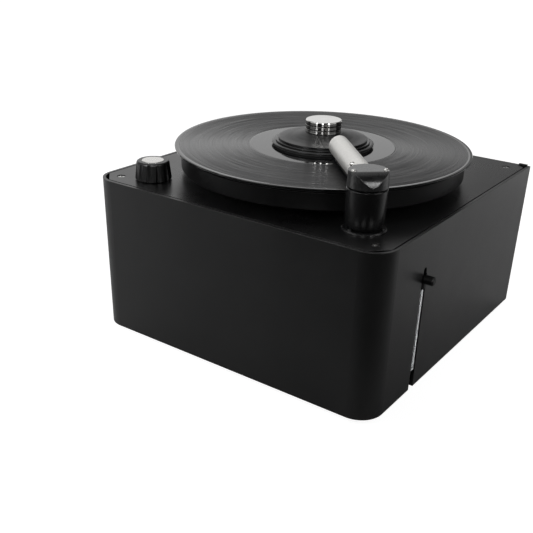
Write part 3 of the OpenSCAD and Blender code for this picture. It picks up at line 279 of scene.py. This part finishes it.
def vinyl():
    """Grooved black vinyl: streaky bands of grooves, a polished run-out and a plain rim.
    The grooves are tinted to mirror about half as strongly as the plain vinyl, and their
    streaks lighten the base colour as painted sheen."""
    mat, tree, bsdf = shader("grooved_vinyl")
    vec = coords(tree)
    x, y, _ = split(tree, vec)
    radius = distance_from_axis(tree, x, y)
    ring = add(tree, "ShaderNodeCombineXYZ")
    tree.links.new(radius, ring.inputs["X"])
    fine = noise(tree, ring.outputs["Vector"], 2600, 3.0, 0.8)
    across, around = 620, 1.6       # the streaks are narrow across the grooves, long along them
    arc = add(tree, "ShaderNodeCombineXYZ")
    tree.links.new(math_node(tree, "MULTIPLY", radius, across), arc.inputs["X"])
    for axis, value in (("Y", x), ("Z", y)):
        tree.links.new(math_node(tree, "DIVIDE", math_node(tree, "MULTIPLY", value, around),
                                 radius), arc.inputs[axis])
    streak_and_sheen = noise(tree, arc.outputs["Vector"], 1.0, 3.0, 0.65)
    grooved = between(tree, radius, GROOVED_FROM, GROOVED_TO)
    # painted sheen: the streaks lighten the grooves' base colour
    tree.links.new(mix_color(tree, remap(tree, streak_and_sheen, 0.35, 0.65, 0, 1),
                             (0.0045, 0.0045, 0.0048), (0.0120, 0.0120, 0.0126)),
                   bsdf.inputs["Base Color"])
    tree.links.new(mix_color(tree, grooved, (1, 1, 1), (0.50, 0.50, 0.51)),
                   bsdf.inputs["Specular Tint"])
    band = remap(tree, math_node(tree, "ADD", math_node(tree, "MULTIPLY", streak_and_sheen, 0.7),
                                 math_node(tree, "MULTIPLY", fine, 0.3)), 0.35, 0.65, 0.22, 0.40)
    plain = remap(tree, noise(tree, vec, 14, 3.0, 0.6), 0.3, 0.7, 0.035, 0.06)
    pick = add(tree, "ShaderNodeMix", data_type="FLOAT")
    tree.links.new(grooved, pick.inputs["Factor"])
    tree.links.new(plain, pick.inputs["A"])
    tree.links.new(band, pick.inputs["B"])
    tree.links.new(pick.outputs["Result"], bsdf.inputs["Roughness"])
    near = bump(tree, math_node(tree, "MULTIPLY", streak_and_sheen, grooved), 0.00009, 0.9)
    tree.links.new(bump(tree, math_node(tree, "MULTIPLY", fine, grooved), 0.00003, 0.8, near),
                   bsdf.inputs["Normal"])
    bsdf.inputs["Specular IOR Level"].default_value = 0.56
    bsdf.inputs["Anisotropic"].default_value = 1.0
    bsdf.inputs["Anisotropic Rotation"].default_value = 0.25
    tangent = add(tree, "ShaderNodeTangent", direction_type="RADIAL", axis="Z")
    tree.links.new(tangent.outputs["Tangent"], bsdf.inputs["Tangent"])
    return mat


def clear_hose():
    """Clear flexible tube: tinted white, glossy, with faint drawn lines."""
    mat, tree, bsdf = shader("clear_tube")
    vec = coords(tree)
    stretch = add(tree, "ShaderNodeMapping")
    stretch.inputs["Scale"].default_value = (1, 1, 0.05)
    tree.links.new(vec, stretch.inputs["Vector"])
    lines = noise(tree, stretch.outputs["Vector"], 900, 2.0, 0.5)
    tree.links.new(mix_color(tree, remap(tree, lines, 0.3, 0.7, 0, 1), (0.78, 0.79, 0.80),
                             (0.90, 0.91, 0.92)), bsdf.inputs["Base Color"])
    tree.links.new(remap(tree, lines, 0.3, 0.7, 0.08, 0.16), bsdf.inputs["Roughness"])
    tree.links.new(bump(tree, lines, 0.00002, 0.5), bsdf.inputs["Normal"])
    bsdf.inputs["Transmission Weight"].default_value = 0.82
    bsdf.inputs["IOR"].default_value = 1.45
    return mat


MAT["vinyl"] = vinyl()
MAT["hose"] = clear_hose()

LOOK = {
    "casing_wrap": "powder", "rear_panel": "powder", "top_plate": "plate",
    "bottom_plate": "powder", "corner_posts": "zinc", "top_screws": "dark_screw",
    "rubber_feet": "rubber", "foot_screws": "zinc", "pan_screws": "zinc",
    "exhaust_grille": "plastic", "bearing_housing": "cast", "bearing_bushes": "bronze",
    "motor_bracket": "zinc", "gearbox_housing": "cast", "motor_can": "motor",
    "motor_capacitor": "zinc", "fluid_tank": "plastic", "tank_lid": "plastic",
    "suction_pipe": "plastic", "air_hose": "rubber", "fan_housing": "plastic",
    "vacuum_motor": "motor", "drain_nozzle": "plastic", "post_flange": "post",
    "flange_screws": "black_screw", "arm_post": "post", "selector_switch": "plastic",
    "selector_nut": "zinc", "inlet_body": "plastic", "inlet_pins": "steel",
    "switch_frame": "plastic", "main_shaft": "steel", "platter": "platter",
    "platter_mat": "mat", "vinyl_record": "vinyl", "platter_hub": "cast", "hub_screws": "zinc",
    "drive_gear": "nylon", "motor_pinion": "brass", "output_shaft": "steel",
    "clamp_disc": "clamp", "clamp_seal": "rubber", "clamp_knob": "chrome", "impeller": "cast",
    "swing_collar": "bronze", "lift_tube": "zinc", "lift_spring": "steel",
    "arm_head": "head", "arm_tube": "blasted", "arm_end_cap": "blasted",
    "slit_bar": "plastic", "velvet_lips": "velvet", "head_screws": "screw",
    "selector_shaft": "zinc", "selector_knob": "satin", "knob_cap": "cap",
    "power_rocker": "satin", "drain_hose": "hose", "hose_plug": "plug",
}
for name, obj in NODES.items():
    obj.data.materials.clear()
    obj.data.materials.append(MAT[LOOK[name]])


PILE_VOXEL, PILE_DEPTH, PILE_SCALE = 0.00035, 0.0001, 2400


def velvet_pile():
    """The two velvet strips under the arm: soft edges and a short, uneven pile."""
    lips = NODES["velvet_lips"]
    pile = bpy.data.objects.new("velvet_pile", lips.data.copy())
    bpy.context.scene.collection.objects.link(pile)
    even = pile.modifiers.new("even", "REMESH")
    even.mode = "VOXEL"
    even.voxel_size = PILE_VOXEL
    graph = bpy.context.evaluated_depsgraph_get()
    mesh = bpy.data.meshes.new_from_object(pile.evaluated_get(graph))
    pile.modifiers.clear()
    pile.data = mesh
    mesh.name = "velvet_pile"
    bm = bmesh.new()
    bm.from_mesh(mesh)
    bm.normal_update()
    for v in bm.verts:
        v.co -= v.normal * (PILE_DEPTH * (1 + perlin.noise(v.co * PILE_SCALE)))
    for face in bm.faces:
        face.smooth = True
    bm.to_mesh(mesh)
    bm.free()
    mesh.materials.clear()
    mesh.materials.append(MAT["velvet"])
    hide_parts("velvet_lips")
    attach(pile, "arm")


def piece_from(bm, name, crease, material):
    """A smooth-shaded object made of bm, with sharp edges where it bends more than crease."""
    bmesh.ops.recalc_face_normals(bm, faces=bm.faces)
    for edge in bm.edges:
        edge.smooth = edge.calc_face_angle(0.0) < crease
    for face in bm.faces:
        face.smooth = True
    mesh = bpy.data.meshes.new(name)
    bm.to_mesh(mesh)
    bm.free()
    mesh.materials.append(material)
    obj = bpy.data.objects.new(name, mesh)
    bpy.context.scene.collection.objects.link(obj)
    return obj


def lathe(name, profile, material):
    """A closed solid turned round the z axis from a line of (radius, height) points."""
    segments = 256
    bm = bmesh.new()
    rings = []
    for r, z in profile:
        if r == 0:
            rings.append([bm.verts.new((0, 0, z))])
            continue
        turns = [2 * math.pi * i / segments for i in range(segments)]
        rings.append([bm.verts.new((r * math.cos(a), r * math.sin(a), z)) for a in turns])
    for low, high in zip(rings, rings[1:]):
        for i in range(segments):
            j = (i + 1) % segments
            corners = []
            for ring, k in ((low, i), (low, j), (high, j), (high, i)):
                v = ring[k % len(ring)]
                if v not in corners:
                    corners.append(v)
            bm.faces.new(corners)
    return piece_from(bm, name, math.radians(20), material)


def turned_knob():
    """The clamp's knob: three polished bands, two cut grooves and a faintly dished top."""
    base, top, r = KNOB_BASE, KNOB_TOP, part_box("clamp_knob")[1][0]
    bore, roof = 0.0036, base + 0.007           # the blind hole for the spindle
    stem, foot = 0.0084, base - 0.0058          # the part down inside the clamp
    wide, deep, lip = 0.0011, 0.0009, 0.00015   # each cut groove
    profile = [(0, roof), (bore, roof), (bore, foot), (stem, foot), (stem, base),
               (r - 0.0005, base), (r, base + 0.0005)]
    for cut in KNOB_CUTS:
        profile += [(r, cut), (r - lip, cut + lip), (r - deep, cut + lip),
                    (r - deep, cut + wide - lip), (r - lip, cut + wide - lip), (r, cut + wide)]
    profile += [(r, top - 0.0009), (r - 0.00015, top - 0.0005), (r - 0.0005, top - 0.00012),
                (r - 0.0008, top), (r * 0.9, top - 0.00002), (r * 0.6, top - 0.00012),
                (r * 0.3, top - 0.0002), (0, top - 0.00022)]
    knob = lathe("turned_knob", profile, MAT["chrome"])
    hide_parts("clamp_knob")
    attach(knob, "clamp_knob")


def coil_spring():
    """The wire spring round the lift tube: its foot stays on the collar as the arm rises."""
    low, high = (Vector(c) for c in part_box("lift_spring"))
    wire, turns, steps, sides = 0.0014, 5, 40, 12
    centre = (low + high) / 2
    coil = (high.x - low.x - wire) / 2
    climb = high.z - low.z - wire
    count = turns * steps
    bm = bmesh.new()
    rings = []
    for i in range(count + 1):
        a = 2 * math.pi * i / steps
        along = Vector((-math.sin(a), math.cos(a), climb / (2 * math.pi * turns * coil)))
        out = Vector((math.cos(a), math.sin(a), 0))
        rise = along.normalized().cross(out).normalized()
        rise = rise if rise.z > 0 else -rise
        middle = Vector((centre.x, centre.y, low.z + wire / 2 + climb * i / count)) + coil * out
        rings.append([bm.verts.new(middle + wire / 2 * (math.cos(b) * out + math.sin(b) * rise))
                      for b in (2 * math.pi * k / sides for k in range(sides))])
    for one, two in zip(rings, rings[1:]):
        for k in range(sides):
            n = (k + 1) % sides
            bm.faces.new((one[k], one[n], two[n], two[k]))
    bm.faces.new(rings[0])
    bm.faces.new(rings[-1])
    spring = piece_from(bm, "coil_spring", math.radians(40), MAT["steel"])
    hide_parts("lift_spring")
    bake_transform(spring)


velvet_pile()
turned_knob()
coil_spring()

# ------------------------------------------------------------ floor and studio

# The photographer's bearing in degrees, and the floor directions ahead and left as they saw
# them. The studio is laid out by these and doesn't turn with the camera.
BEARING = 35.3
FORWARD, LEFTWARD = (-0.578, 0.816, 0.0), (-0.816, -0.578, 0.0)
FLOOR_SHADE_RAMP = (-0.40, -0.05, 0.06, 0.80)     # painted shade on the floor, from front to back: places, then brightness
FLOOR_GLOW = 0.93                           # near the object, so that its shadow shows


def along_dir(tree, vector, direction):
    n = add(tree, "ShaderNodeVectorMath", operation="DOT_PRODUCT")
    n.inputs[1].default_value = direction
    tree.links.new(vector, n.inputs[0])
    return n.outputs["Value"]


def seen_white(tree):
    """1 where a ray comes straight from the camera or through clear material."""
    path = add(tree, "ShaderNodeLightPath")
    return math_node(tree, "MAXIMUM", path.outputs["Is Camera Ray"],
                     path.outputs["Is Transmission Ray"])


def joined(tree, kind, first, second, factor=None):
    """Two shaders added, or mixed by factor."""
    n = add(tree, kind)
    sockets = n.inputs[-2:]
    tree.links.new(first, sockets[0])
    tree.links.new(second, sockets[1])
    if factor is not None:
        tree.links.new(factor, n.inputs[0])
    return n.outputs[0]


def floor_material():
    """White to the camera; to other rays a painted shade, pale at the back and dark towards the
    front, with a painted reflection glow far behind that only mirrors show.
    """
    mat = bpy.data.materials.new("floor_white_painted_shade")
    mat.use_nodes = True
    tree = mat.node_tree
    tree.nodes.clear()
    out = add(tree, "ShaderNodeOutputMaterial")
    ahead = along_dir(tree, coords(tree), FORWARD)
    # painted shade: the floor's colour darkens towards the front for rays other than the
    # camera's
    floor_shade = remap(tree, ahead, *FLOOR_SHADE_RAMP)
    pale = add(tree, "ShaderNodeBsdfDiffuse")
    tree.links.new(floor_shade, pale.inputs["Color"])
    # painted reflection: far behind, the floor glows for mirror rays only
    mirrored = add(tree, "ShaderNodeLightPath").outputs["Is Glossy Ray"]
    painted_reflection_glow = add(tree, "ShaderNodeEmission")
    painted_glow_strength = remap(tree, ahead, 0.30, 0.75, 0.0, 0.75)
    tree.links.new(math_node(tree, "MULTIPLY", mirrored, painted_glow_strength), painted_reflection_glow.inputs["Strength"])
    lit = joined(tree, "ShaderNodeAddShader", pale.outputs[0], painted_reflection_glow.outputs[0])
    white = add(tree, "ShaderNodeBsdfDiffuse")
    white.inputs["Color"].default_value = (0.35, 0.35, 0.35, 1)
    glow = add(tree, "ShaderNodeEmission")
    span = add(tree, "ShaderNodeVectorMath", operation="LENGTH")
    tree.links.new(coords(tree), span.inputs[0])
    tree.links.new(remap(tree, span.outputs["Value"], 0.6, 3.0, FLOOR_GLOW, 1.0),
                   glow.inputs["Strength"])
    seen = joined(tree, "ShaderNodeAddShader", white.outputs[0], glow.outputs[0])
    tree.links.new(joined(tree, "ShaderNodeMixShader", lit, seen, seen_white(tree)),
                   out.inputs["Surface"])
    return mat


bpy.ops.mesh.primitive_plane_add(size=30, location=(0, 0, 0))
floor = bpy.context.object
floor.name = "floor"
floor.data.materials.append(floor_material())


def studio_world():
    """White to the camera; to other rays bright at the back, dim at the front."""
    world = bpy.data.worlds.new("studio")
    bpy.context.scene.world = world
    world.use_nodes = True
    tree = world.node_tree
    tree.nodes.clear()
    out = add(tree, "ShaderNodeOutputWorld")
    light = add(tree, "ShaderNodeBackground")
    white = add(tree, "ShaderNodeBackground")
    white.inputs["Color"].default_value = (1, 1, 1, 1)
    vector = add(tree, "ShaderNodeTexCoord").outputs["Generated"]
    ahead = remap(tree, along_dir(tree, vector, FORWARD), 0.30, 0.88, 0.05, 1.05)
    across = along_dir(tree, vector, LEFTWARD)
    side = math_node(tree, "ADD", remap(tree, across, -0.235, -0.16, 0.42, 1.10),
                     remap(tree, across, -0.1, 0.3, 0.0, 0.14))
    tree.links.new(math_node(tree, "MULTIPLY", ahead, side), light.inputs["Strength"])
    tree.links.new(joined(tree, "ShaderNodeMixShader", light.outputs[0], white.outputs[0],
                          seen_white(tree)), out.inputs["Surface"])


def softbox(name, place, target, size, watts, mirrored=True, diffuse=True):
    """A soft lamp that the camera doesn't see; it may leave out mirror rays or diffuse light."""
    lamp = bpy.data.lights.new(name, "AREA")
    lamp.shape = "RECTANGLE"
    lamp.size, lamp.size_y = size
    lamp.energy = watts
    obj = bpy.data.objects.new(name, lamp)
    obj.location = place
    direction = Vector(target) - Vector(place)
    obj.rotation_euler = direction.to_track_quat("-Z", "Y").to_euler()
    obj.visible_camera = False
    obj.visible_glossy = mirrored
    obj.visible_diffuse = diffuse
    bpy.context.scene.collection.objects.link(obj)


def strip(name, angle, distance=1.7, low=0.50, high=1.7, width=0.26, watts=13):
    """A tall narrow lamp that only mirrors show, angle degrees to the right of the bearing."""
    turn = math.radians(BEARING + angle)
    place = (distance * math.sin(turn), -distance * math.cos(turn), (low + high) / 2)
    softbox(name, place, (0, 0, place[2]), (width, high - low), watts, diffuse=False)


studio_world()
softbox("box_left", (-0.90, -1.20, 0.85), (0, 0, 0.12), (1.4, 1.4), 6.5, diffuse=False)
softbox("box_right", (1.55, 0.15, 0.85), (0, 0, 0.12), (1.4, 1.4), 6.5, diffuse=False)
softbox("fill_left", (-1.05, -0.95, 0.75), (0, 0, 0.12), (0.9, 0.9), 10, mirrored=False)
softbox("fill_right", (1.35, 0.75, 0.8), (0, 0, 0.12), (0.9, 0.9), 8.5, mirrored=False)
softbox("box_top", (-0.35, -0.1, 1.55), (0, 0, 0.15), (1.2, 1.2), 3.5)
strip("strip_left", -47)
strip("strip_mid", -9)
strip("strip_right", 31)

# ---------------------------------------------------------------------- camera

# Fitted to the photograph, apart from the shift, which the fit leaves open
PHOTO_SIDE, SENSOR = 533, 36
AZ, EL, ROLL, DIST, FOCAL = 35.3031, 27.8276, 1.5091, 0.781725, 778.0358
TARGET = Vector((0.0160774, -0.1136433, 0.0358478))
SHIFT_Y = 58.5 / PHOTO_SIDE
az, el, roll = (math.radians(v) for v in (AZ, EL, ROLL))
back = Vector((math.sin(az) * math.cos(el), -math.cos(az) * math.cos(el), math.sin(el)))
right = (-back).cross(Vector((0, 0, 1))).normalized()
up = right.cross(-back)
cam_right = math.cos(roll) * right + math.sin(roll) * up
cam_up = -math.sin(roll) * right + math.cos(roll) * up
cam_data = bpy.data.cameras.new("camera")
cam_data.sensor_fit = "HORIZONTAL"
cam_data.sensor_width = SENSOR
cam_data.lens = FOCAL / PHOTO_SIDE * SENSOR
cam_data.shift_y = SHIFT_Y
cam_data.clip_start = 0.01
camera = bpy.data.objects.new("camera", cam_data)
turn = Matrix((cam_right, cam_up, back)).transposed().to_4x4()
camera.matrix_world = Matrix.Translation(TARGET + back * DIST) @ turn
bpy.context.scene.collection.objects.link(camera)
bpy.context.scene.camera = camera
bpy.context.scene.view_settings.view_transform = "Standard"
